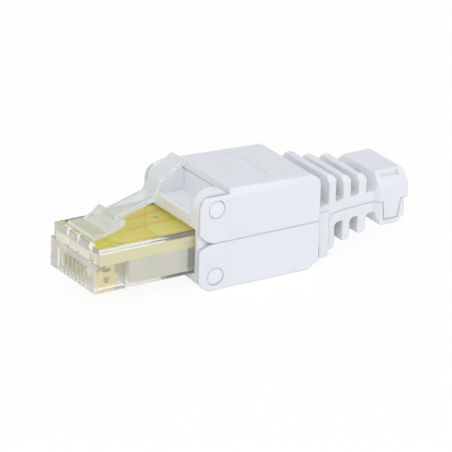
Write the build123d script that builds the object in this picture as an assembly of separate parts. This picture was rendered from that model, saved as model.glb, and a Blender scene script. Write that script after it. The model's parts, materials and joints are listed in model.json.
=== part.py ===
from build123d import *
import os

# Field termination ethernet plug: a clear nose with a latch and eight blades, a circuit board
# behind it, and two white covers that hinge on a frame and close round the cable.
# All sizes are in millimetres. X runs from the front of the nose to the cable, Y runs across,
# and Z runs up. While pieces are made, Z is measured from the bottom of the nose.

# Clearances
moulding_gap = 0.05
running_gap = 0.05
board_gap = 0.02
cover_gap = 0.1
ear_gap = 0.25
snap_gap = 0.12

# Nose
nose_width = 11.68
nose_height = 6.3
nose_length = 19.0
nose_side_wall = 0.55
nose_floor = 0.45
nose_roof = 0.95
nose_step_height = 4.43
nose_step_depth = 0.63
nose_corner_radius = 0.3
cavity_front = 5.4

# Circuit board
board_thickness = 1.6
board_front = 1.1
board_overhang = 0.3

# Contact blades, whose heights are shares of the way up to the board
contact_count = 8
contact_pitch = 1.016
contact_slot_width = 0.6
contact_slot_roof = 0.4
contact_thickness = 0.4
contact_front = 0.85
contact_length = 3.45
contact_bottom = 0.25
contact_shelf_share = 0.486
contact_head_share = 0.786
contact_hole_share = 0.277
contact_hole_radius_share = 0.131
contact_toe_share = 0.1
contact_stem_width = 1.3
contact_notch_length = 1.3
contact_notch_share = 0.143
contact_notch_rise_share = 0.034

# Block that holds the blades
holder_gap = 0.2
holder_setback = 4.4
holder_groove_depth = 0.6

# Latch, with the shape of its plate and tail measured from the pivot
latch_pivot_x = 1.3
latch_knuckle_radius = 0.45
latch_plate_width = 6.1
latch_length = 4.9
latch_thickness = 0.6
latch_heel_rise = 0.9
latch_bend_share = 0.36
latch_bend_drop = 0.1
latch_knee_share = 0.8
latch_knee_rise = 0.5
latch_crest_share = 0.4
latch_ramp_share = 0.66
latch_ramp_rise = 0.35
latch_shoulder_width = 1.3
latch_shoulder_rise = 0.45
latch_shoulder_bevel_length = 0.4
latch_shoulder_bevel_height = 0.2
latch_pocket_half_width = 2.1
latch_pocket_depth = 0.1
latch_bridge_length = 0.7
latch_bridge_rise = 0.2
latch_tail_width = 3.26
latch_tail_thickness = 0.75
latch_tail_round = 0.2
latch_tail_start = 0.7
latch_tail_root_rise = 1.45
latch_tail_arm_length = 5.65
latch_tail_arm_rise = 3.2
latch_tail_step_length = 0.85
latch_tail_step_rise = 2.05
latch_tail_tip_length = 3.6
latch_tail_tip_rise = 2.5
latch_tail_bend_radius = 1.1

# Ribs at the root of the latch
latch_rib_width = 8.3
latch_rib_middle = 2.1
latch_rib_gap = 0.5
latch_rib_front = 0.05
latch_rib_drop = 0.2
latch_rib_round = 0.45

# Frame
collar_overlap = 3.55
collar_wall = 0.76
collar_back = 1.6
deck_length = 1.6
deck_thickness = 1.2
rim_rise = 0.5
rim_thickness = 0.9
rail_rise = 0.1
rail_wall = 1.15
rail_overhang = 0.5
floor_gap = 0.17
lip_wall_gap = 0.1
lip_wall_thickness = 0.5

# Pivots of the covers, measured from the seam between them
seam_z = 4.35
pivot_rise = 4.85
pivot_radius = 1.22
pivot_lead_depth = 0.25
ear_radius = 2.55
ear_thickness = 1.75

# Wire terminals
terminal_gap = 0.2
terminal_length = 6.0
terminal_height = 2.4
terminal_side_wall = 0.75
terminals_per_side = 4
groove_width = 1.1
groove_depth = 1.6
wire_contact_wall = 0.7
wire_contact_thickness = 0.4
wire_contact_height = 2.1
wire_contact_slot_width = 0.36
wire_contact_slot_depth = 1.3
wire_contact_mouth_share = 0.6
wire_contact_mouth_depth = 0.4
wire_contact_stagger = 2.4
presser_length = 0.8
presser_reach = 0.5
presser_gap = 0.35

# Housing of the covers
cover_wall = 1.0
cover_front_wall = 0.3
cover_wall_step = 0.25
cover_front_gap = 0.07
cover_lip_reach = 2.2
cover_chamfer_height = 1.45
cover_chamfer_length = 2.1
cover_chamfer_mid_height = 0.51
cover_chamfer_mid_length = 1.15
wire_room = 4.55
roof_over_pivot = 2.43
roof_fall = 0.64
roof_thickness = 0.65
roof_lip_height = 1.05
roof_lip_length = 0.8
roof_bevel_height = 0.42
roof_bevel_width = 0.65
roof_rear_round = 1.3
floor_under_pivot = 1.9
floor_thickness = 0.9
floor_front_round = 2.1
floor_rear_chamfer_length = 1.8
floor_rear_chamfer_height = 1.15
panel_setback = 4.2
panel_length = 3.7
panel_margin = 1.7
panel_depth = 0.05
panel_radius = 1.0

# Strain relief, with its narrowing measured inwards from the sides of the housing
neck_front_narrowing = 0.65
neck_rear_narrowing = 2.32
neck_drop = 0.06
neck_floor_height = 1.52
neck_chamfer = 0.75
neck_crest_rise = 0.3
neck_first_slot = 2.3
neck_rib_width = 1.3
neck_slot_width = 1.43
neck_rib_count = 3
neck_floor_round = 0.45
neck_crest_round = 0.3
neck_back_round = 0.7
cable_radius = 3.05
grip_bite = 0.2

# Block at the end of the strain relief
block_flare = 0.5
block_lean = 0.6
block_length = 4.51
block_lower_length = 3.96
block_lower_height = 3.4
block_lower_chamfer = 1.0
block_narrowing = 1.7
block_height = 3.93
block_shoulder_height = 1.63
block_shoulder_width = 1.77
block_round = 0.3

# Snap lug and tongue of the upper cover
lug_length = 2.1
lug_floor_rise = 0.9
lug_slant = 0.5
lug_slant_rise = 1.5
lug_front_narrowing = 0.7
lug_rear_narrowing = 1.0
lug_thickness = 0.6
lug_round = 0.4
lug_relief_depth = 0.8
lug_relief_length = 0.35
tongue_setback = 0.56
tongue_length = 2.85
tongue_depth = 2.6
tongue_root = 1.0
tongue_thickness = 0.6
tongue_front_slant = 0.1
tongue_rear_slant = 0.2

# Windows in the shoulders of the end block
window_setback = 0.76
window_length = 2.9
window_drop = 0.83
window_margin = 1.6

# Widths worked out from the nose outwards
far = 100.0
nose_half = nose_width / 2
cavity_half = nose_half - nose_side_wall
board_half = cavity_half - board_gap
frame_half_width = nose_half + moulding_gap + collar_wall
ear_inner = frame_half_width - ear_thickness
cover_half_width = frame_half_width + ear_gap + cover_front_wall
rail_half_width = cover_half_width - cover_wall - cover_gap
terminal_half_width = rail_half_width - rail_wall - moulding_gap
roof_half_width = cover_half_width - roof_bevel_width
panel_half_width = roof_half_width - panel_margin
neck_front_half_width = cover_half_width - neck_front_narrowing
neck_rear_half_width = cover_half_width - neck_rear_narrowing
block_half_width = cover_half_width - block_narrowing
block_top_half_width = block_half_width - block_shoulder_width
window_half_width = block_half_width - window_margin
lug_front_half_width = cover_half_width - lug_front_narrowing
lug_rear_half_width = cover_half_width - lug_rear_narrowing
lug_inner = lug_rear_half_width - lug_thickness

# Heights measured from the bottom of the nose
board_top = nose_height - nose_roof
board_bottom = board_top - board_thickness
board_middle = (board_top + board_bottom) / 2
contact_slot_height = board_bottom - contact_slot_roof
latch_pivot_z = nose_height + latch_knuckle_radius + running_gap
deck_height = nose_height + deck_thickness
rim_height = deck_height + rim_rise
rail_top = deck_height + rail_rise
rail_bottom = 2 * board_middle - rail_top

# Heights measured from the seam
roof_front_height = pivot_rise + roof_over_pivot
roof_rear_height = roof_front_height - roof_fall
ridge_height = roof_rear_height - roof_bevel_height
floor_height = pivot_rise + floor_under_pivot
frame_bottom = seam_z - floor_height + floor_thickness + floor_gap
neck_front_height = roof_rear_height - neck_drop
lug_depth = floor_height - lug_floor_rise
lug_slant_depth = lug_depth - lug_slant_rise
window_height = block_height - window_drop

# Places along the length, from the front of the nose
holder_front = cavity_front + holder_gap
holder_rear = nose_length - holder_setback
frame_front = nose_length - collar_overlap
pivot_x = frame_front + ear_radius
cover_front_radius = ear_radius + cover_front_gap
cover_lip_x = pivot_x + cover_lip_reach
collar_rear = nose_length + collar_back
cover_step_x = collar_rear + cover_wall_step
deck_rear = collar_rear + deck_length
terminal_front = deck_rear + terminal_gap
terminal_rear = terminal_front + terminal_length
terminal_middle = (terminal_front + terminal_rear) / 2
board_rear = terminal_rear + board_overhang
rail_rear = terminal_rear + rail_overhang
cover_back = rail_rear + wire_room
cover_rear = cover_back + cover_wall
panel_front = cover_lip_x + panel_setback
panel_rear = panel_front + panel_length
neck_rib_start = cover_rear + neck_first_slot
neck_pitch = neck_rib_width + neck_slot_width
neck_end = neck_rib_start + neck_rib_count * neck_pitch
neck_ribs = [neck_rib_start + i * neck_pitch for i in range(neck_rib_count)]
block_front = neck_end + block_flare
block_end = block_front + block_length
lug_front = cover_rear + cover_gap
tongue_front = block_front + tongue_setback
window_front = block_front + window_setback

# Rows of blades and of wire terminals
contact_ys = [(i - (contact_count - 1) / 2) * contact_pitch for i in range(contact_count)]
terminal_span = 2 * (terminal_half_width - terminal_side_wall) - groove_width
terminal_pitch = terminal_span / (terminals_per_side - 1)
terminal_ys = [i * terminal_pitch - terminal_span / 2 for i in range(terminals_per_side)]
terminal_xs = [
    terminal_middle + (0.5 if abs(y) < terminal_pitch else -0.5) * wire_contact_stagger
    for y in terminal_ys
]
wire_contact_width = terminal_pitch - wire_contact_wall


def block(x0, x1, y0, y1, z0, z1):
    """A box between two corners."""
    return Pos((x0 + x1) / 2, (y0 + y1) / 2, (z0 + z1) / 2) * Box(x1 - x0, y1 - y0, z1 - z0)


def outline(points, radii=None):
    """A closed face through points, with its corners rounded where radii are given."""
    face = make_face(Polyline(*points, close=True))
    for (x, z), radius in zip(points, radii or []):
        if radius:
            corner = face.vertices().sort_by_distance((x, z, 0))[0]
            face = fillet(corner, radius)
    return face


def disc(x, z, radius):
    """A round face."""
    return Pos(x, z) * Circle(radius)


def across(face, y0, y1):
    """A face drawn in X and Z, given thickness from y0 to y1."""
    return extrude(Plane.XZ.offset(-y1) * face, amount=y1 - y0)


def along(face, x0, x1):
    """A face drawn in Y and Z, given length from x0 to x1."""
    return extrude(Plane.YZ.offset(x0) * face, amount=x1 - x0)


def both_sides(solid):
    """A solid and its mirror image across the middle."""
    return solid + mirror(solid, about=Plane.XZ)


def make_nose():
    """Clear nose: blade slots, a cavity for the board, and the ribs at the root of the latch."""
    nose = block(0, nose_length, -nose_half, nose_half, 0, nose_height)
    nose -= block(-far, nose_step_depth, -far, far, nose_step_height, far)
    nose = fillet(nose.edges().filter_by(Axis.X), nose_corner_radius)
    upright = nose.faces().sort_by(Axis.X)[0].edges().filter_by(Axis.Z)
    nose = fillet(upright, nose_corner_radius)

    nose += make_latch_ribs()
    nose -= block(cavity_front, far, -cavity_half, cavity_half, nose_floor, board_bottom)
    nose -= block(
        board_front - board_gap,
        far,
        -cavity_half,
        cavity_half,
        board_bottom - board_gap,
        board_top + board_gap,
    )
    for y in contact_ys:
        y0 = y - contact_slot_width / 2
        y1 = y + contact_slot_width / 2
        nose -= block(-far, cavity_front + board_gap, y0, y1, -far, contact_slot_height)
        nose -= block(board_front, cavity_front + board_gap, y0, y1, 0, board_bottom)
    return nose


def make_latch_ribs():
    """Three round-shouldered ribs in front of the latch, with its hinge seat behind them."""
    half = latch_rib_width / 2
    front = latch_rib_front
    back = latch_pivot_x
    foot = nose_step_height - moulding_gap
    top = latch_pivot_z + latch_knuckle_radius - latch_rib_drop
    corners = [(front, foot), (back, foot), (back, top), (front, top)]
    ribs = across(outline(corners, [0, 0, 0, latch_rib_round]), -half, half)
    seat_radius = latch_knuckle_radius + running_gap
    gap_depth = back - seat_radius - front - moulding_gap
    gap_middle = (latch_rib_middle + latch_rib_gap) / 2
    gap = block(
        -far,
        front + gap_depth,
        gap_middle - latch_rib_gap / 2,
        gap_middle + latch_rib_gap / 2,
        nose_step_height,
        far,
    )
    ribs -= both_sides(gap)
    return ribs - across(disc(back, latch_pivot_z, seat_radius), -far, far)


def make_contact(y):
    """A gilded blade with a hole, a stepped toe, and a slotted head soldered to the board."""
    front = contact_front
    rear = front + contact_length
    low = contact_bottom
    reach = board_bottom - low
    shelf = low + contact_shelf_share * reach
    head = low + contact_head_share * reach
    toe = contact_toe_share * reach
    stem_rear = rear - toe - toe / 2
    face = outline(
        [
            (front + toe, low),
            (rear - toe, low),
            (rear, low + 2 * toe),
            (rear, shelf - toe / 2),
            (rear - toe, shelf),
            (stem_rear, head),
            (stem_rear, board_bottom),
            (stem_rear - contact_stem_width, board_bottom),
            (stem_rear - contact_stem_width, head - toe / 2),
            (front + 2 * toe, head - toe),
            (front, shelf - toe),
        ],
        [toe, toe, 0, toe / 2, 0, 0, 0, 0, 0, 0, toe],
    )
    middle = front + contact_length / 2
    face -= disc(middle, low + contact_hole_share * reach, contact_hole_radius_share * reach)
    notch_z = (shelf + head) / 2 + contact_notch_rise_share * reach
    face -= Pos(middle, notch_z) * SlotOverall(contact_notch_length, contact_notch_share * reach)
    return across(face, y - contact_thickness / 2, y + contact_thickness / 2)


def make_board():
    """Circuit board, from just behind the front of the nose to the wire terminals."""
    return block(board_front, board_rear, -board_half, board_half, board_bottom, board_top)


def make_contact_holder():
    """Milky block under the board, with a groove behind each blade."""
    holder = block(
        holder_front,
        holder_rear,
        -board_half,
        board_half,
        nose_floor + board_gap,
        board_bottom - board_gap,
    )
    groove_end = holder_front + holder_groove_depth
    for y in contact_ys:
        y0 = y - contact_slot_width / 2
        y1 = y + contact_slot_width / 2
        holder -= block(-far, groove_end, y0, y1, -far, far)
    return holder


def make_latch():
    """Lever with a wide plate, two locking shoulders, and a bent tail for the finger."""
    x0 = latch_pivot_x
    z0 = latch_pivot_z
    radius = latch_knuckle_radius
    heel = x0 + latch_length
    knee = x0 + latch_knee_share * latch_length
    ramp = x0 + latch_ramp_share * latch_length
    heel_z = z0 + latch_heel_rise
    crest = x0 + latch_crest_share * latch_length
    ramp_z = z0 + latch_ramp_rise + latch_thickness
    plate = outline(
        [
            (x0, z0 - radius),
            (x0 + latch_bend_share * latch_length, z0 - latch_bend_drop),
            (knee, z0 + latch_knee_rise),
            (heel, heel_z),
            (heel, heel_z + latch_thickness),
            (ramp, ramp_z),
            (crest, z0 + radius),
            (x0, z0 + radius),
        ]
    )
    outer = latch_plate_width / 2
    latch = across(plate + disc(x0, z0, radius), -outer, outer)
    pocket = outline(
        [
            (crest, z0 + radius - latch_pocket_depth),
            (ramp, ramp_z - latch_pocket_depth),
            (ramp, far),
            (crest, far),
        ]
    )
    latch -= across(pocket, -latch_pocket_half_width, latch_pocket_half_width)

    shoulder_top = heel_z + latch_thickness + latch_shoulder_rise
    shoulder = outline(
        [
            (ramp, ramp_z - moulding_gap),
            (heel, heel_z),
            (heel, shoulder_top - latch_shoulder_bevel_height),
            (heel - latch_shoulder_bevel_length, shoulder_top),
            (knee, shoulder_top - latch_shoulder_rise),
        ]
    )
    inner = outer - latch_shoulder_width
    latch += both_sides(across(shoulder, inner, outer))
    latch += block(
        heel - latch_bridge_length,
        heel,
        -inner,
        inner,
        heel_z,
        heel_z + latch_thickness + latch_bridge_rise,
    )
    return latch + make_latch_tail(heel, z0)


def make_latch_tail(heel, z0):
    """Bent tail of the latch: a rising arm, a steep step, and the tip that a finger presses."""
    arm_x = heel + latch_tail_arm_length
    arm_z = z0 + latch_tail_arm_rise
    step_x = arm_x + latch_tail_step_length
    step_z = arm_z + latch_tail_step_rise
    centre_line = FilletPolyline(
        (heel - latch_tail_start, z0 + latch_tail_root_rise),
        (arm_x, arm_z),
        (step_x, step_z),
        (step_x + latch_tail_tip_length, step_z + latch_tail_tip_rise),
        radius=latch_tail_bend_radius,
    )
    strip = trace(centre_line, line_width=latch_tail_thickness)
    half = latch_tail_width / 2
    tail = across(strip, -half, half)
    rounded = []
    for edge in tail.edges():
        middle = edge.center()
        if abs(abs(middle.Y) - half) < moulding_gap and middle.X > heel:
            rounded.append(edge)
    return fillet(rounded, latch_tail_round)


def make_frame():
    """White middle frame: a collar round the nose, rails for the board, and ears with pivots."""
    frame = block(
        frame_front,
        collar_rear,
        -frame_half_width,
        frame_half_width,
        frame_bottom,
        deck_height,
    )
    frame += block(
        frame_front,
        frame_front + rim_thickness,
        -frame_half_width,
        frame_half_width,
        deck_height,
        rim_height,
    )
    frame += block(
        collar_rear - moulding_gap,
        deck_rear,
        -rail_half_width,
        rail_half_width,
        rail_bottom,
        deck_height,
    )
    inner = terminal_half_width + moulding_gap
    frame += both_sides(
        block(collar_rear, rail_rear, inner, rail_half_width, rail_bottom, rail_top)
    )
    frame -= block(
        nose_length + rim_thickness,
        far,
        -inner,
        inner,
        rail_bottom + rim_thickness,
        deck_height - rim_thickness,
    )
    frame += block(
        cover_lip_x + lip_wall_gap,
        cover_lip_x + lip_wall_gap + lip_wall_thickness,
        -rail_half_width,
        rail_half_width,
        deck_height - deck_thickness,
        seam_z + roof_height(cover_lip_x) - roof_lip_height - lip_wall_gap,
    )
    for side in (1, -1):
        frame += both_sides(make_ear(side))
    nose_hole = nose_half + moulding_gap
    frame -= block(
        -far,
        nose_length + moulding_gap,
        -nose_hole,
        nose_hole,
        -moulding_gap,
        nose_height + moulding_gap,
    )
    slot_half = board_half + board_gap
    frame -= block(
        -far, far, -slot_half, slot_half, board_bottom - board_gap, board_top + board_gap
    )
    lowest = seam_z - floor_height + cover_gap
    inside_cover = outline(
        [(frame_front, lowest), (far, lowest), (far, far), (frame_front, far)],
        [floor_front_round, 0, 0, 0],
    )
    return frame & across(inside_cover, -far, far)


def make_ear(side):
    """One ear of the frame above or below the seam, with the pivot on its outer face."""
    height = seam_z + side * pivot_rise
    toward_seam = seam_z + side * pivot_rise / 2
    ear = disc(pivot_x, height, ear_radius)
    ear += outline(
        [
            (frame_front, height),
            (pivot_x + ear_radius, height),
            (pivot_x + ear_radius, toward_seam),
            (frame_front, toward_seam),
        ]
    )
    outer = cover_half_width - board_gap
    pivot = across(disc(pivot_x, height, pivot_radius), ear_inner, outer)
    rim = height + side * 2 * pivot_radius
    lead = outline([(outer, height), (outer, rim), (outer - 2 * pivot_lead_depth, rim)])
    pivot -= along(lead, pivot_x - 2 * pivot_radius, pivot_x + 2 * pivot_radius)
    return across(ear, ear_inner, frame_half_width) + pivot


def make_terminal_block():
    """Block on the board with a groove for each wire and a pocket for each forked contact."""
    top = board_top + terminal_height
    body = block(
        terminal_front, terminal_rear, -terminal_half_width, terminal_half_width, board_top, top
    )
    groove_radius = groove_width / 2
    groove = Pos(0, top - groove_depth + groove_radius) * Circle(groove_radius)
    groove += Pos(0, top - groove_depth + groove_radius + terminal_height / 2) * Rectangle(
        groove_width, terminal_height
    )
    for x, y in zip(terminal_xs, terminal_ys):
        body -= along(Pos(y, 0) * groove, 0, far)
        body -= block(
            x - wire_contact_thickness / 2 - board_gap,
            x + wire_contact_thickness / 2 + board_gap,
            y - wire_contact_width / 2 - board_gap,
            y + wire_contact_width / 2 + board_gap,
            0,
            far,
        )
    return body


def make_wire_contact(x, y):
    """Forked contact that cuts through a wire's insulation and stands on the board."""
    half = wire_contact_width / 2
    top = board_top + wire_contact_height
    slot_half = wire_contact_slot_width / 2
    mouth = slot_half + wire_contact_mouth_share * (half - slot_half)
    bottom = top - wire_contact_slot_depth
    fork = outline(
        [
            (-half, board_top),
            (half, board_top),
            (half, top),
            (mouth, top),
            (slot_half, top - wire_contact_mouth_depth),
            (slot_half, bottom),
            (-slot_half, bottom),
            (-slot_half, top - wire_contact_mouth_depth),
            (-mouth, top),
            (-half, top),
        ]
    )
    return along(
        Pos(y, 0) * fork, x - wire_contact_thickness / 2, x + wire_contact_thickness / 2
    )


def below_board(solid):
    """A solid turned over about the middle plane of the board."""
    return mirror(solid, about=Plane.XY.offset(board_middle))


def roof_height(x):
    """Height of the upper cover's roof above the seam, which falls toward the cable."""
    share = (x - cover_lip_x) / (cover_rear - cover_lip_x)
    return roof_front_height + share * (roof_rear_height - roof_front_height)


def neck_share(x):
    """Square of the way left to the end of the neck, from 1 at the housing to 0."""
    return ((neck_end - x) / (neck_end - cover_rear)) ** 2


def neck_half(x):
    """Half width of the neck."""
    return neck_rear_half_width + neck_share(x) * (neck_front_half_width - neck_rear_half_width)


def crest_height(x, rise):
    """Height of the neck's ribs from the seam, where the last ones rise above the end block."""
    end_height = block_height + rise
    return end_height + neck_share(x) * (neck_front_height - end_height)


def housing_profile(corners, radii):
    """Side view of a cover's housing, with its front round about the pivot."""
    front = pivot_x - cover_front_radius
    face = outline(corners, radii)
    above = outline([(0, pivot_rise), (pivot_x, pivot_rise), (pivot_x, far), (0, far)])
    below = outline([(0, -far), (pivot_x, -far), (pivot_x, pivot_rise), (0, pivot_rise)])
    face -= above - disc(pivot_x, pivot_rise, cover_front_radius)
    face -= below - disc(pivot_x, pivot_rise, pivot_rise - running_gap)
    return face - outline([(0, -far), (front, -far), (front, far), (0, far)])


def neck_plan(length):
    """View from above of the neck and the block at its end."""
    start = cover_back
    middle = (start + neck_end) / 2
    side = ThreePointArc(
        (start, neck_half(start)), (middle, neck_half(middle)), (neck_end, neck_half(neck_end))
    )
    rest = Polyline(
        (neck_end, neck_half(neck_end)),
        (block_front, block_half_width),
        (block_front + length, block_half_width),
        (block_front + length, 0),
        (start, 0),
        (start, neck_half(start)),
    )
    plan = make_face([*side.edges(), *rest.edges()])
    return plan + mirror(plan, about=Plane.XZ)


def neck_profile(ribs, rise, end_corners, floor_rounds, back_round, front_round):
    """Side view of the neck and the block at its end, with a slot in front of each rib."""
    start = cover_back
    end = end_corners[0][0]
    at_rear, at_front = floor_rounds
    points = [
        (start, running_gap / 2),
        (end, running_gap / 2),
        *end_corners,
        (neck_end, neck_floor_height),
    ]
    radii = [0, 0] + [block_round] * len(end_corners) + [at_rear]
    for rib_start, rib_end in reversed(ribs):
        crest = crest_height(rib_end - neck_rib_width / 2, rise)
        points += [
            (rib_end, neck_floor_height),
            (rib_end, crest),
            (rib_start, crest),
            (rib_start, neck_floor_height),
        ]
        radii += [at_front, back_round, front_round, at_rear]
    if ribs[0][0] <= cover_rear:
        return outline(points[:-1], radii[:-2] + [0])
    return outline(points + [(start, neck_floor_height)], radii + [0])


def shoulder_prism(top_half, top, side, x0, x1):
    """A prism with a flat top and sloping shoulders, to trim a rib with."""
    half = cover_half_width
    points = [
        (-half, 0),
        (half, 0),
        (half, side),
        (top_half, top),
        (-top_half, top),
        (-half, side),
    ]
    return along(outline(points), x0, x1)


def make_neck():
    """Ribbed strain relief of the upper cover, with sloping shoulders."""
    ribs = [(x, x + neck_rib_width) for x in neck_ribs]
    end_corners = [(block_end, block_height), (neck_end + block_lean, block_height)]
    side_view = neck_profile(
        ribs,
        neck_crest_rise,
        end_corners,
        (neck_floor_round, 0),
        neck_back_round,
        neck_crest_round,
    )
    neck = across(side_view, -cover_half_width, cover_half_width)
    neck &= extrude(neck_plan(block_length), amount=far)
    slope = block_shoulder_height / block_shoulder_width
    trim = shoulder_prism(
        block_top_half_width,
        block_height,
        block_height - slope * (cover_half_width - block_top_half_width),
        neck_end,
        far,
    )
    start = cover_back
    for x in neck_ribs:
        middle = x + neck_rib_width / 2
        top_half = neck_half(middle) - neck_chamfer
        top = crest_height(middle, neck_crest_rise)
        end = x + neck_pitch
        trim += shoulder_prism(top_half, top, top - (cover_half_width - top_half), start, end)
        start = end
    return neck & trim


def make_lower_neck():
    """Ribbed strain relief of the lower cover, square at its sides, clear of the lug."""
    first = (cover_rear, neck_rib_start + neck_rib_width)
    ribs = [first] + [(x, x + neck_rib_width) for x in neck_ribs[1:]]
    end = block_front + block_lower_length
    end_corners = [
        (end, block_lower_height - block_lower_chamfer),
        (end - block_lower_chamfer, block_lower_height),
        (neck_end + block_lean, block_lower_height),
    ]
    side_view = neck_profile(ribs, 0, end_corners, (0, neck_back_round), neck_back_round, 0)
    neck = across(side_view, -lug_inner + cover_gap, lug_inner - cover_gap)
    return neck & extrude(neck_plan(block_lower_length), amount=far)


def make_upper_cover():
    """Upper cover: bevelled housing, strain relief, snap lugs and tongues."""
    x0 = pivot_x - cover_front_radius
    corners = [
        (x0, running_gap / 2),
        (cover_rear, running_gap / 2),
        (cover_rear, roof_height(cover_rear)),
        (x0, roof_height(x0)),
    ]
    profile = housing_profile(corners, [0, 0, roof_rear_round, 0])
    profile -= outline(
        [
            (x0, cover_chamfer_height),
            (x0 + cover_chamfer_mid_length, cover_chamfer_mid_height),
            (x0 + cover_chamfer_length, 0),
            (x0, 0),
        ]
    )
    cover = across(profile, -cover_half_width, cover_half_width)
    cover &= bevelled_prism(0, cover_rear)
    cover -= roof_cavity()
    cover += make_neck()
    cover -= make_cable_channel()
    cover += make_pressers(seam_z + roof_height(terminal_middle) - roof_thickness / 2)
    cover += both_sides(make_lug()) + both_sides(make_tongue(0))
    cover -= both_sides(make_window())
    cover -= across(disc(pivot_x, pivot_rise, pivot_radius + running_gap), -far, far)
    top = roof_height(panel_front)
    panel_middle = (panel_front + panel_rear) / 2
    panel = RectangleRounded(panel_rear - panel_front, 2 * panel_half_width, panel_radius)
    tilt = Plane(
        origin=(panel_middle, 0, roof_height(panel_middle)),
        x_dir=(panel_rear - panel_front, 0, roof_height(panel_rear) - top),
        z_dir=(top - roof_height(panel_rear), 0, panel_rear - panel_front),
    )
    return cover - extrude(tilt * panel, amount=panel_depth, both=True)


def bevelled_prism(x0, x1):
    """Outside form of the upper housing, whose bevels narrow toward the cable."""
    sections = []
    for x in (x0, x1):
        top = roof_height(x)
        points = [
            (-cover_half_width, 0),
            (cover_half_width, 0),
            (cover_half_width, ridge_height),
            (roof_half_width, top),
            (-roof_half_width, top),
            (-cover_half_width, ridge_height),
        ]
        sections.append(Plane.YZ.offset(x) * outline(points))
    return loft(sections, ruled=True)


def roof_cavity():
    """Space inside the upper housing, with thin walls beside the ears."""
    half = cover_half_width - cover_wall
    front_half = cover_half_width - cover_front_wall
    shape = outline(
        [
            (0, -far),
            (cover_back, -far),
            (cover_back, roof_height(cover_back) - roof_thickness),
            (0, roof_height(0) - roof_thickness),
        ]
    )
    lip_end = cover_lip_x + roof_lip_length
    lip_bottom = roof_height(cover_lip_x) - roof_lip_height
    shape -= outline([(0, lip_bottom), (lip_end, lip_bottom), (lip_end, far), (0, far)])
    front_shape = shape & Pos(cover_step_x / 2, 0) * Rectangle(cover_step_x, far)
    open_front = outline([(0, -far), (cover_lip_x, -far), (cover_lip_x, far), (0, far)])
    space = across(shape, -half, half)
    return space + across(front_shape + open_front, -front_half, front_half)


def make_cable_channel():
    """Round channel for the cable, narrower in the end block, where it's gripped."""
    channel = along(Circle(cable_radius), cover_back - cover_wall, neck_end)
    return channel + along(Circle(cable_radius - grip_bite), cover_back, far)


def make_pressers(top):
    """Blocks that push each wire down on both sides of its forked contact."""
    blocks = []
    low = board_top + terminal_height - presser_reach
    half = groove_width / 2 - cover_gap
    for x, y in zip(terminal_xs, terminal_ys):
        for side in (-1, 1):
            near = x + side * (wire_contact_thickness / 2 + presser_gap)
            x0, x1 = sorted((near, near + side * presser_length))
            blocks.append(block(x0, x1, y - half, y + half, low - seam_z, top - seam_z))
    return blocks


def make_lug():
    """Snap lug that reaches down beside the lower cover, just behind its housing."""
    rear = lug_front + lug_length
    shape = outline(
        [
            (lug_front, neck_floor_height / 2),
            (rear, neck_floor_height / 2),
            (rear, -lug_depth),
            (lug_front + lug_slant, -lug_depth),
            (lug_front + lug_slant, -lug_slant_depth),
            (lug_front, 0),
        ],
        [0, 0, lug_round, 0, 0, 0],
    )
    plan = outline(
        [
            (lug_front, lug_inner),
            (rear, lug_inner),
            (rear, lug_rear_half_width),
            (lug_front, lug_front_half_width),
        ]
    )
    return across(shape, 0, far) & extrude(plan, amount=lug_depth * 2, both=True)


def make_tongue(gap):
    """Tapered tongue at the end block, grown by a gap to cut the recess that takes it."""
    rear = tongue_front + tongue_length
    shape = outline(
        [
            (tongue_front - gap, tongue_root),
            (rear + gap, tongue_root),
            (rear + gap, 0),
            (rear + gap - tongue_rear_slant * tongue_depth, -tongue_depth - gap),
            (tongue_front - gap + tongue_front_slant * tongue_depth, -tongue_depth - gap),
            (tongue_front - gap, 0),
        ]
    )
    return across(shape, block_half_width - tongue_thickness - gap, block_half_width + gap)


def make_window():
    """Recess in the sloping shoulder of the end block."""
    return block(
        window_front,
        window_front + window_length,
        window_half_width,
        far,
        window_height,
        far,
    )


def make_lower_cover():
    """Lower cover: square housing, strain relief, recesses for the lugs and tongues."""
    x0 = pivot_x - cover_front_radius
    corners = [
        (x0, running_gap / 2),
        (cover_rear, running_gap / 2),
        (cover_rear, floor_height - floor_rear_chamfer_height),
        (cover_rear - floor_rear_chamfer_length, floor_height),
        (x0, floor_height),
    ]
    profile = housing_profile(corners, [0, 0, 0, 0, floor_front_round])
    cover = across(profile, -cover_half_width, cover_half_width)
    cover -= floor_cavity()
    corner = outline(
        [
            (cover_rear - lug_relief_length, 0),
            (far, 0),
            (far, lug_relief_depth),
            (cover_rear, lug_relief_depth),
        ]
    )
    cover -= both_sides(across(corner, lug_inner - cover_gap, far))
    cover += make_lower_neck()
    cover -= make_cable_channel()
    turned_tongue = mirror(make_tongue(snap_gap), about=Plane.XY)
    cover -= both_sides(turned_tongue)
    cover -= across(disc(pivot_x, pivot_rise, pivot_radius + running_gap), -far, far)
    return cover


def floor_cavity():
    """Space inside the lower housing, with thin walls beside the ears."""
    half = cover_half_width - cover_wall
    front_half = cover_half_width - cover_front_wall
    inside = floor_height - floor_thickness
    chamfer = floor_rear_chamfer_height
    shape = outline(
        [
            (0, -far),
            (cover_back, -far),
            (cover_back, inside - chamfer),
            (cover_back - floor_rear_chamfer_length, inside),
            (0, inside),
        ]
    )
    front_shape = shape & Pos(cover_step_x / 2, 0) * Rectangle(cover_step_x, far)
    open_front = outline([(0, -far), (cover_lip_x, -far), (cover_lip_x, far), (0, far)])
    open_front += disc(pivot_x, pivot_rise, ear_radius + cover_gap)
    space = across(shape, -half, half)
    return space + across(front_shape + open_front, -front_half, front_half)


def write(name, solid):
    """Move a piece to the part's own frame and save it."""
    placed = Pos(-block_end / 2, 0, floor_height - seam_z) * solid
    placed.label = name
    export_step(placed, os.path.join("parts", name + ".step"))


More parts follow.
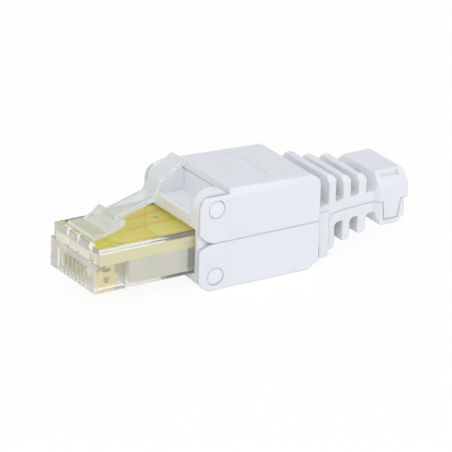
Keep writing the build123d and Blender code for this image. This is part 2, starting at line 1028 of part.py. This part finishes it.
os.makedirs("parts", exist_ok=True)
write("plug_nose", make_nose())
write("latch", make_latch())
write("circuit_board", make_board())
write("contact_holder", make_contact_holder())
for number, y in enumerate(contact_ys, 1):
    write(f"contact_{number}", make_contact(y))
write("carrier_frame", make_frame())
terminal_block = make_terminal_block()
write("upper_terminal_block", terminal_block)
write("lower_terminal_block", below_board(terminal_block))
for number, (x, y) in enumerate(zip(terminal_xs, terminal_ys), 1):
    wire_contact = make_wire_contact(x, y)
    write(f"wire_contact_{number}", wire_contact)
    write(f"wire_contact_{number + terminals_per_side}", below_board(wire_contact))
write("upper_cover", Pos(0, 0, seam_z) * make_upper_cover())
write("lower_cover", Pos(0, 0, seam_z) * mirror(make_lower_cover(), about=Plane.XY))
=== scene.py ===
import json
import math

import bpy
from mathutils import Matrix, Vector

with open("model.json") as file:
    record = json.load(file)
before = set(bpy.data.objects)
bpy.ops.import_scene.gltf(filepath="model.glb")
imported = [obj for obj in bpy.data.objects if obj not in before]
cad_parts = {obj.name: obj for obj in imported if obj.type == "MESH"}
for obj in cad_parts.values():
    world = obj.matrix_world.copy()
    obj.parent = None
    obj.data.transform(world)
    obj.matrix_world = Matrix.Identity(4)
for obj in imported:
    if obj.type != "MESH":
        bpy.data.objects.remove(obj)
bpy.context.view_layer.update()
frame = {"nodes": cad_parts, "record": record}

MM = 0.001

# Camera, standing in front of the nose and to its left
CAMERA_TARGET = Vector((-0.885, 0.0, 5.47)) * MM
CAMERA_DISTANCE = 608.7 * MM
CAMERA_AZIMUTH = math.radians(32.774)
CAMERA_ELEVATION = math.radians(22.358)
CAMERA_ROLL = math.radians(1.65)
CAMERA_LENS = 358.4
CAMERA_CLIP_START = 0.01
CAMERA_CLIP_END = 20.0
SENSOR_WIDTH = 36.0

# Floor, whose white share hides all but a faint shadow
FLOOR_SIZE = 6.0
FLOOR_COLOUR = (0.95, 0.95, 0.95, 1.0)
FLOOR_WHITE_SHARE = 0.92

# World, with the horizon's strength in reflections and the heights between which it rises to 1,
# as the upward part of the ray's direction
BACKGROUND_COLOUR = (1.0, 1.0, 1.0, 1.0)
WORLD_LIGHT = 0.7
HORIZON_GLOSS = 0.2
HORIZON_LOW = 0.2
HORIZON_HIGH = 0.9

# Lamps, and the bounces that the many clear faces of the nose need
KEY_LAMP = {"place": (-0.42, -0.37, 0.62), "size": 0.4, "power": 1.75}
FILL_LAMP = {"place": (0.45, -0.5, 0.35), "size": 0.5, "power": 0.86}
GLASS_BOUNCES = 16

# Radii of the rounded edges, in millimetres
CLEAR_EDGE = 0.12
WHITE_EDGE = 0.25
BEVEL_SAMPLES = 6

# Clear plastic: hazes are the milky shares of faces that look along X, Y and Z, and the shade is
# what shadow and diffuse rays keep on their way through
CLEAR_IOR = 1.46
CLEAR_SHADE = (0.93, 0.93, 0.9, 1.0)
NOSE_FINISH = {
    "colour": (0.93, 0.93, 0.89, 1.0),
    "hazes": (0.4, 0.17, 0.01),
    "roughness": 0.03,
}
LATCH_FINISH = {
    "colour": (0.81, 0.84, 0.865, 1.0),
    "hazes": (0.45, 0.4, 0.28),
    "roughness": 0.04,
}

# Pairs of the darker and the lighter tone of a clouded material
COVER_COLOURS = ((0.79, 0.82, 0.87, 1.0), (0.82, 0.845, 0.89, 1.0))
FRAME_COLOURS = ((0.82, 0.85, 0.9, 1.0), (0.85, 0.875, 0.92, 1.0))
MILKY_COLOURS = ((0.52, 0.51, 0.44, 1.0), (0.66, 0.66, 0.6, 1.0))
LACQUER_COLOURS = ((0.8, 0.72, 0.0, 1.0), (0.9, 0.81, 0.0, 1.0))
FIBRE_COLOURS = ((0.68, 0.6, 0.22, 1.0), (0.86, 0.8, 0.5, 1.0))

# Metals, whose darker clouds are a share of their colour
GOLD_COLOUR = (1.0, 0.82, 0.36, 1.0)
GOLD_ROUGHNESS = 0.4
TIN_COLOUR = (0.72, 0.72, 0.7, 1.0)
TIN_ROUGHNESS = 0.35
METAL_DARK_SHARE = 0.88

# Painted shade on the walls of the strain relief's slots, darker towards their floors, in
# millimetres of the part's frame: the stretch along X and how softly it ends, the seam's height,
# and the distances from the seam at which the painted shade is full and gone. Walls are shaded as
# their normals turn along X, from the first share to full.
NECK_START = 8.4
NECK_END = 19.4
NECK_SOFT = 0.1
NECK_SEAM = 6.75
NECK_DEEP = 0.9
NECK_OPEN = 4.2
NECK_TURN_START = 0.4
NECK_TURN_FULL = 0.9
SLOT_SHADE_COLOUR = (0.8, 0.78, 0.74, 1.0)

# Marks on the board: a colour, how much of it covers the lacquer, and its lines. A line has its
# places across at the start and end, its start and end along X, and its width, in millimetres of
# the part's frame.
FAINT_TRACKS = [
    (-3.0, -2.7, -18.5, -8.5, 0.4),
    (-1.9, -1.6, -18.0, -8.5, 0.3),
    (1.0, 1.5, -17.5, -12.3, 0.3),
    (3.9, 4.2, -18.0, -8.5, 0.3),
]
COPPER_TRACKS = [
    (-4.35, -4.6, -20.6, -8.5, 0.4),
    (-0.8, -0.2, -17.0, -9.4, 0.9),
    (2.2, 3.4, -15.2, -8.5, 0.9),
    (4.9, 5.1, -17.0, -8.5, 0.45),
]
PRINTED_LINES = [
    (-3.75, -3.95, -20.0, -8.8, 0.1),
    (-3.9, -3.9, -22.7, -21.95, 0.12),
    (-2.75, -2.75, -22.7, -21.95, 0.12),
    (-3.32, -3.32, -22.05, -21.95, 1.15),
]
BOARD_MARKS = [
    ((0.88, 0.84, 0.12, 1.0), 0.5, FAINT_TRACKS),
    ((0.9, 0.56, 0.0, 1.0), 0.95, COPPER_TRACKS),
    ((0.86, 0.85, 0.7, 1.0), 1.0, PRINTED_LINES),
]
LINE_SIDE_SOFT = 0.04
LINE_END_SOFT = 0.05

# Via, with its place along and across, its radius, and the share of the radius where it softens
VIA_PLACE = (-11.35, 1.2)
VIA_RADIUS = 0.5
VIA_SOFT_START = 0.8
VIA_COVER = 0.8
VIA_COLOUR = (0.42, 0.42, 0.12, 1.0)

# Bare fibre edge of the board, by the height of its middle and half its thickness, and the
# stretch along X over which its colour deepens
BOARD_MIDDLE = 6.95
BOARD_CORE_HALF = 0.64
BOARD_CORE_SOFT = 0.06
BOARD_DEEP_START = -14.0
BOARD_DEEP_END = -6.5
BOARD_DEEP_SHARE = 0.85
BOARD_DEEP_COLOUR = (0.58, 0.5, 0.06, 1.0)


def new_material(name):
    """A material with an empty tree."""
    material = bpy.data.materials.new(name)
    material.use_nodes = True
    material.node_tree.nodes.clear()
    return material, material.node_tree.nodes, material.node_tree.links


def add_output(nodes, links, shader):
    """Join a shader to the material's surface."""
    output = nodes.new("ShaderNodeOutputMaterial")
    links.new(shader.outputs[0], output.inputs["Surface"])


def principled(nodes, **values):
    """A Principled shader with the given socket values."""
    shader = nodes.new("ShaderNodeBsdfPrincipled")
    for name, value in values.items():
        shader.inputs[name.replace("_", " ")].default_value = value
    return shader


def mix_shaders(nodes, links, share, first, second):
    """Blend two shaders by a share socket."""
    mix = nodes.new("ShaderNodeMixShader")
    links.new(share, mix.inputs["Fac"])
    links.new(first.outputs[0], mix.inputs[1])
    links.new(second.outputs[0], mix.inputs[2])
    return mix


def mix_colours(nodes, links, share, first, second):
    """Blend two colours, each a socket or a plain colour, by a share socket."""
    mix = nodes.new("ShaderNodeMix")
    mix.data_type = "RGBA"
    links.new(share, mix.inputs["Factor"])
    for name, colour in (("A", first), ("B", second)):
        socket = next(s for s in mix.inputs if s.name == name and s.type == "RGBA")
        if isinstance(colour, tuple):
            socket.default_value = colour
        else:
            links.new(colour, socket)
    return next(s for s in mix.outputs if s.type == "RGBA")


def split_coordinates(nodes, links, kind):
    """The X, Y and Z sockets of one kind of texture coordinates."""
    coordinates = nodes.new("ShaderNodeTexCoord")
    split = nodes.new("ShaderNodeSeparateXYZ")
    links.new(coordinates.outputs[kind], split.inputs[0])
    return split.outputs


def place_noise(nodes, links, scale, detail=2.0, stretch=(1.0, 1.0, 1.0)):
    """Noise fixed to the part, with features per millimetre given by scale."""
    coordinates = nodes.new("ShaderNodeTexCoord")
    mapping = nodes.new("ShaderNodeMapping")
    mapping.inputs["Scale"].default_value = stretch
    noise = nodes.new("ShaderNodeTexNoise")
    noise.inputs["Scale"].default_value = scale / MM
    noise.inputs["Detail"].default_value = detail
    links.new(coordinates.outputs["Object"], mapping.inputs["Vector"])
    links.new(mapping.outputs["Vector"], noise.inputs["Vector"])
    return noise.outputs["Fac"]


def rounded_edges(nodes, links, radius):
    """A normal that rounds a piece's edges by a radius in millimetres."""
    edge = nodes.new("ShaderNodeBevel")
    edge.samples = BEVEL_SAMPLES
    edge.inputs["Radius"].default_value = radius * MM
    return edge.outputs["Normal"]


def add_bump(nodes, links, shader, height, distance, strength, edge=None):
    """Raise a shader's surface by a height socket times millimetres, over rounded edges."""
    bump = nodes.new("ShaderNodeBump")
    bump.inputs["Distance"].default_value = distance * MM
    bump.inputs["Strength"].default_value = strength
    links.new(height, bump.inputs["Height"])
    if edge is not None:
        links.new(rounded_edges(nodes, links, edge), bump.inputs["Normal"])
    links.new(bump.outputs["Normal"], shader.inputs["Normal"])


def ramp(nodes, links, value, low, high, before=0.0, after=1.0):
    """A socket that goes smoothly from before to after as value goes from low to high."""
    node = nodes.new("ShaderNodeMapRange")
    node.interpolation_type = "SMOOTHSTEP"
    links.new(value, node.inputs["Value"])
    node.inputs["From Min"].default_value = low
    node.inputs["From Max"].default_value = high
    node.inputs["To Min"].default_value = before
    node.inputs["To Max"].default_value = after
    return node.outputs["Result"]


def maths(nodes, links, operation, first, second=None):
    """A socket that joins one or two values, each a socket or a number."""
    node = nodes.new("ShaderNodeMath")
    node.operation = operation
    for slot, value in enumerate((first, second)):
        if value is None:
            continue
        if isinstance(value, (int, float)):
            node.inputs[slot].default_value = value
        else:
            links.new(value, node.inputs[slot])
    return node.outputs[0]


def stretch_mask(nodes, links, value, start, end, soft):
    """A mask, 1 where value is between start and end, each softened to both its sides."""
    begun = ramp(nodes, links, value, start - soft, start + soft)
    ended = ramp(nodes, links, value, end - soft, end + soft, before=1.0, after=0.0)
    return maths(nodes, links, "MULTIPLY", begun, ended)


def painted_slot_shade(nodes, links):
    """A mask of painted shade, 1 on the walls of the strain relief's slots towards their floors.
    """
    facing = split_coordinates(nodes, links, "Normal")
    place = split_coordinates(nodes, links, "Object")
    turned = maths(nodes, links, "ABSOLUTE", facing[0])
    turned = ramp(nodes, links, turned, NECK_TURN_START, NECK_TURN_FULL)
    along = stretch_mask(
        nodes, links, place[0], NECK_START * MM, NECK_END * MM, NECK_SOFT * MM
    )
    away = maths(nodes, links, "SUBTRACT", place[2], NECK_SEAM * MM)
    away = maths(nodes, links, "ABSOLUTE", away)
    deep = ramp(
        nodes, links, away, NECK_DEEP * MM, NECK_OPEN * MM, before=1.0, after=0.0
    )
    share = maths(nodes, links, "MULTIPLY", along, turned)
    return maths(nodes, links, "MULTIPLY", share, deep)


def white_plastic(name, darker, lighter):
    """Cool white satin moulding with a very fine grain, clouded between two tones, and painted
    shade in the slots.
    """
    material, nodes, links = new_material(name)
    shader = principled(
        nodes,
        Roughness=0.4,
        IOR=1.5,
        Subsurface_Weight=0.3,
        Subsurface_Scale=0.5 * MM,
        Subsurface_Radius=(1.0, 0.95, 0.9),
    )
    cloud = place_noise(nodes, links, scale=0.12, detail=3.0)
    tint = mix_colours(nodes, links, cloud, darker, lighter)
    # Painted shade: the walls of the strain relief's slots turn a darker warm grey towards their
    # floors.
    tint = mix_colours(nodes, links, painted_slot_shade(nodes, links), tint, SLOT_SHADE_COLOUR)
    links.new(tint, shader.inputs["Base Color"])
    grain = place_noise(nodes, links, scale=9.0)
    add_bump(nodes, links, shader, grain, distance=0.004, strength=0.4, edge=WHITE_EDGE)
    add_output(nodes, links, shader)
    return material


def haze_by_side(nodes, links, hazes):
    """How milky a face is, from the direction that it looks in."""
    total = None
    for part, haze in zip(split_coordinates(nodes, links, "Normal"), hazes):
        size = maths(nodes, links, "ABSOLUTE", part)
        share = maths(nodes, links, "MULTIPLY", size, haze)
        total = share if total is None else maths(nodes, links, "ADD", total, share)
    return total


def clear_plastic(name, colour, hazes, roughness):
    """Clear glossy moulding, milky by a share for each direction, that lets light through."""
    material, nodes, links = new_material(name)
    shader = principled(nodes, Base_Color=colour, Roughness=roughness, IOR=CLEAR_IOR)
    haze = haze_by_side(nodes, links, hazes)
    clear_share = maths(nodes, links, "SUBTRACT", 1.0, haze)
    links.new(clear_share, shader.inputs["Transmission Weight"])
    links.new(rounded_edges(nodes, links, CLEAR_EDGE), shader.inputs["Normal"])

    path = nodes.new("ShaderNodeLightPath")
    lit_through = nodes.new("ShaderNodeBsdfTransparent")
    lit_through.inputs["Color"].default_value = CLEAR_SHADE
    for kind in ("Is Shadow Ray", "Is Diffuse Ray"):
        shader = mix_shaders(nodes, links, path.outputs[kind], shader, lit_through)
    add_output(nodes, links, shader)
    return material


def milky_plastic():
    """Milky moulding under the board, with soft clouding."""
    material, nodes, links = new_material("milky_plastic")
    shader = principled(
        nodes, Roughness=0.5, Subsurface_Weight=0.6, Subsurface_Scale=2.0 * MM
    )
    cloud = place_noise(nodes, links, scale=0.35)
    tint = mix_colours(nodes, links, cloud, *MILKY_COLOURS)
    links.new(tint, shader.inputs["Base Color"])
    add_bump(nodes, links, shader, cloud, distance=0.02, strength=0.3)
    add_output(nodes, links, shader)
    return material


def board_line(nodes, links, x, y, y_start, y_end, x_start, x_end, width):
    """A mask, 1 on a line from x_start to x_end that shifts from y_start to y_end."""
    run = nodes.new("ShaderNodeMapRange")
    links.new(x, run.inputs["Value"])
    for name, value in (
        ("From Min", x_start),
        ("From Max", x_end),
        ("To Min", y_start),
        ("To Max", y_end),
    ):
        run.inputs[name].default_value = value * MM
    away = maths(nodes, links, "SUBTRACT", y, run.outputs["Result"])
    away = maths(nodes, links, "ABSOLUTE", away)
    half = width * MM / 2
    soft = LINE_SIDE_SOFT * MM
    across = ramp(nodes, links, away, half - soft, half + soft, before=1.0, after=0.0)
    along = stretch_mask(
        nodes, links, x, x_start * MM, x_end * MM, LINE_END_SOFT * MM
    )
    return maths(nodes, links, "MULTIPLY", across, along)


def board_via(nodes, links, x, y):
    """A mask on the round via of the board."""
    squares = []
    for socket, centre in zip((x, y), VIA_PLACE):
        away = maths(nodes, links, "SUBTRACT", socket, centre * MM)
        squares.append(maths(nodes, links, "MULTIPLY", away, away))
    distance = maths(nodes, links, "SQRT", maths(nodes, links, "ADD", *squares))
    radius = VIA_RADIUS * MM
    return ramp(
        nodes, links, distance, VIA_SOFT_START * radius, radius, before=VIA_COVER, after=0.0
    )


def yellow_board():
    """Yellow lacquered board with copper tracks, printed lines, a via and a fibre edge."""
    material, nodes, links = new_material("yellow_board")
    shader = principled(nodes, Roughness=0.55, Specular_IOR_Level=0.12)
    x, y, z = split_coordinates(nodes, links, "Object")

    cloud = place_noise(nodes, links, scale=0.25, detail=3.0, stretch=(0.5, 1.0, 1.0))
    lacquer = mix_colours(nodes, links, cloud, *LACQUER_COLOURS)
    for colour, cover, lines in BOARD_MARKS:
        for line in lines:
            mask = board_line(nodes, links, x, y, *line)
            share = maths(nodes, links, "MULTIPLY", mask, cover)
            lacquer = mix_colours(nodes, links, share, lacquer, colour)
    via = board_via(nodes, links, x, y)
    lacquer = mix_colours(nodes, links, via, lacquer, VIA_COLOUR)

    fibre = place_noise(nodes, links, scale=1.2, detail=3.0, stretch=(0.15, 0.15, 1.0))
    core = mix_colours(nodes, links, fibre, *FIBRE_COLOURS)
    deep = ramp(
        nodes,
        links,
        x,
        BOARD_DEEP_START * MM,
        BOARD_DEEP_END * MM,
        after=BOARD_DEEP_SHARE,
    )
    core = mix_colours(nodes, links, deep, core, BOARD_DEEP_COLOUR)
    from_middle = maths(nodes, links, "SUBTRACT", z, BOARD_MIDDLE * MM)
    from_middle = maths(nodes, links, "ABSOLUTE", from_middle)
    skin_start = BOARD_CORE_HALF * MM
    skin_full = (BOARD_CORE_HALF + BOARD_CORE_SOFT) * MM
    skin = ramp(nodes, links, from_middle, skin_start, skin_full)
    tint = mix_colours(nodes, links, skin, core, lacquer)
    links.new(tint, shader.inputs["Base Color"])
    weave = place_noise(nodes, links, scale=3.0)
    add_bump(nodes, links, shader, weave, distance=0.01, strength=0.5)
    add_output(nodes, links, shader)
    return material


def metal(name, colour, roughness):
    """Plated metal with fine rolling marks and a slight change of tone."""
    material, nodes, links = new_material(name)
    shader = principled(nodes, Metallic=1.0, Roughness=roughness)
    cloud = place_noise(nodes, links, scale=0.8)
    darker = tuple(METAL_DARK_SHARE * value for value in colour[:3]) + (1.0,)
    tint = mix_colours(nodes, links, cloud, darker, colour)
    links.new(tint, shader.inputs["Base Color"])
    marks = place_noise(nodes, links, scale=6.0, stretch=(0.2, 1.0, 1.0))
    add_bump(nodes, links, shader, marks, distance=0.004, strength=0.5)
    add_output(nodes, links, shader)
    return material


def paint_nodes():
    """Give every CAD piece the finish of its material slot, or one of its own."""
    finishes = {
        "white_plastic": white_plastic("white_plastic", *COVER_COLOURS),
        "clear_plastic": clear_plastic("clear_plastic", **NOSE_FINISH),
        "milky_plastic": milky_plastic(),
        "yellow_board": yellow_board(),
        "gilded_contact": metal("gilded_contact", GOLD_COLOUR, GOLD_ROUGHNESS),
        "tinned_contact": metal("tinned_contact", TIN_COLOUR, TIN_ROUGHNESS),
    }
    own_finishes = {
        "latch": clear_plastic("clear_plastic_latch", **LATCH_FINISH),
        "carrier_frame": white_plastic("white_plastic_frame", *FRAME_COLOURS),
    }
    for entry in frame["record"]["subparts"]:
        piece = frame["nodes"][entry["node"]]
        piece.data.materials.clear()
        finish = own_finishes.get(entry["node"], finishes[entry["material_slot"]])
        piece.data.materials.append(finish)


def add_camera():
    """Camera at the photograph's angle, framed on the plug."""
    azimuth, elevation = CAMERA_AZIMUTH, CAMERA_ELEVATION
    back = Vector(
        (
            -math.sin(azimuth) * math.cos(elevation),
            -math.cos(azimuth) * math.cos(elevation),
            math.sin(elevation),
        )
    )
    level = Vector((math.cos(azimuth), -math.sin(azimuth), 0.0))
    upright = back.cross(level)
    right = level * math.cos(CAMERA_ROLL) + upright * math.sin(CAMERA_ROLL)
    up = upright * math.cos(CAMERA_ROLL) - level * math.sin(CAMERA_ROLL)
    data = bpy.data.cameras.new("camera")
    data.lens = CAMERA_LENS
    data.sensor_width = SENSOR_WIDTH
    data.clip_start = CAMERA_CLIP_START
    data.clip_end = CAMERA_CLIP_END
    camera = bpy.data.objects.new("camera", data)
    bpy.context.collection.objects.link(camera)
    turn = Matrix((right, up, back)).transposed().to_4x4()
    camera.matrix_world = Matrix.Translation(CAMERA_TARGET + back * CAMERA_DISTANCE) @ turn
    bpy.context.scene.camera = camera


def ray_is(nodes, links, *kinds):
    """A socket that is 1 for rays of any of the named kinds."""
    path = nodes.new("ShaderNodeLightPath")
    total = path.outputs[kinds[0]]
    for kind in kinds[1:]:
        total = maths(nodes, links, "MAXIMUM", total, path.outputs[kind])
    return total


def background(nodes, strength):
    """A white background of a given strength."""
    shader = nodes.new("ShaderNodeBackground")
    shader.inputs["Color"].default_value = BACKGROUND_COLOUR
    shader.inputs["Strength"].default_value = strength
    return shader


def add_world():
    """Plain even light, a white background, and a darker horizon in the reflections."""
    world = bpy.data.worlds.new("world")
    bpy.context.scene.world = world
    world.use_nodes = True
    nodes, links = world.node_tree.nodes, world.node_tree.links
    nodes.clear()
    light = background(nodes, WORLD_LIGHT)
    white = background(nodes, 1.0)
    reflected = background(nodes, 1.0)
    height = split_coordinates(nodes, links, "Generated")[2]
    rise = ramp(nodes, links, height, HORIZON_LOW, HORIZON_HIGH, before=HORIZON_GLOSS)
    links.new(rise, reflected.inputs["Strength"])

    glossy = ray_is(nodes, links, "Is Glossy Ray")
    lit = mix_shaders(nodes, links, glossy, light, reflected)
    seen = ray_is(nodes, links, "Is Camera Ray", "Is Transmission Ray")
    mix = mix_shaders(nodes, links, seen, lit, white)
    output = nodes.new("ShaderNodeOutputWorld")
    links.new(mix.outputs[0], output.inputs["Surface"])


def add_floor():
    """White floor that keeps a faint shadow."""
    bpy.ops.mesh.primitive_plane_add(size=FLOOR_SIZE, location=(0.0, 0.0, 0.0))
    floor = bpy.context.object
    floor.name = "floor"
    material, nodes, links = new_material("floor")
    diffuse = nodes.new("ShaderNodeBsdfDiffuse")
    diffuse.inputs["Color"].default_value = FLOOR_COLOUR
    white = nodes.new("ShaderNodeEmission")
    white.inputs["Color"].default_value = BACKGROUND_COLOUR
    white.inputs["Strength"].default_value = 1.0
    seen = ray_is(nodes, links, "Is Camera Ray", "Is Glossy Ray", "Is Transmission Ray")
    share = maths(nodes, links, "MULTIPLY", seen, FLOOR_WHITE_SHARE)
    add_output(nodes, links, mix_shaders(nodes, links, share, diffuse, white))
    floor.data.materials.append(material)


def add_lamp(name, place, size, power):
    """A square soft lamp that points at the plug."""
    data = bpy.data.lights.new(name, "AREA")
    data.shape = "SQUARE"
    data.size = size
    data.energy = power
    lamp = bpy.data.objects.new(name, data)
    bpy.context.collection.objects.link(lamp)
    lamp.location = place
    towards = CAMERA_TARGET - Vector(place)
    lamp.rotation_euler = towards.to_track_quat("-Z", "Y").to_euler()


bpy.context.scene.view_settings.view_transform = "Standard"
bpy.context.scene.cycles.glossy_bounces = GLASS_BOUNCES
bpy.context.scene.cycles.transmission_bounces = GLASS_BOUNCES
bpy.context.scene.cycles.max_bounces = 2 * GLASS_BOUNCES
paint_nodes()
add_camera()
add_world()
add_floor()
add_lamp("key", **KEY_LAMP)
add_lamp("fill", **FILL_LAMP)
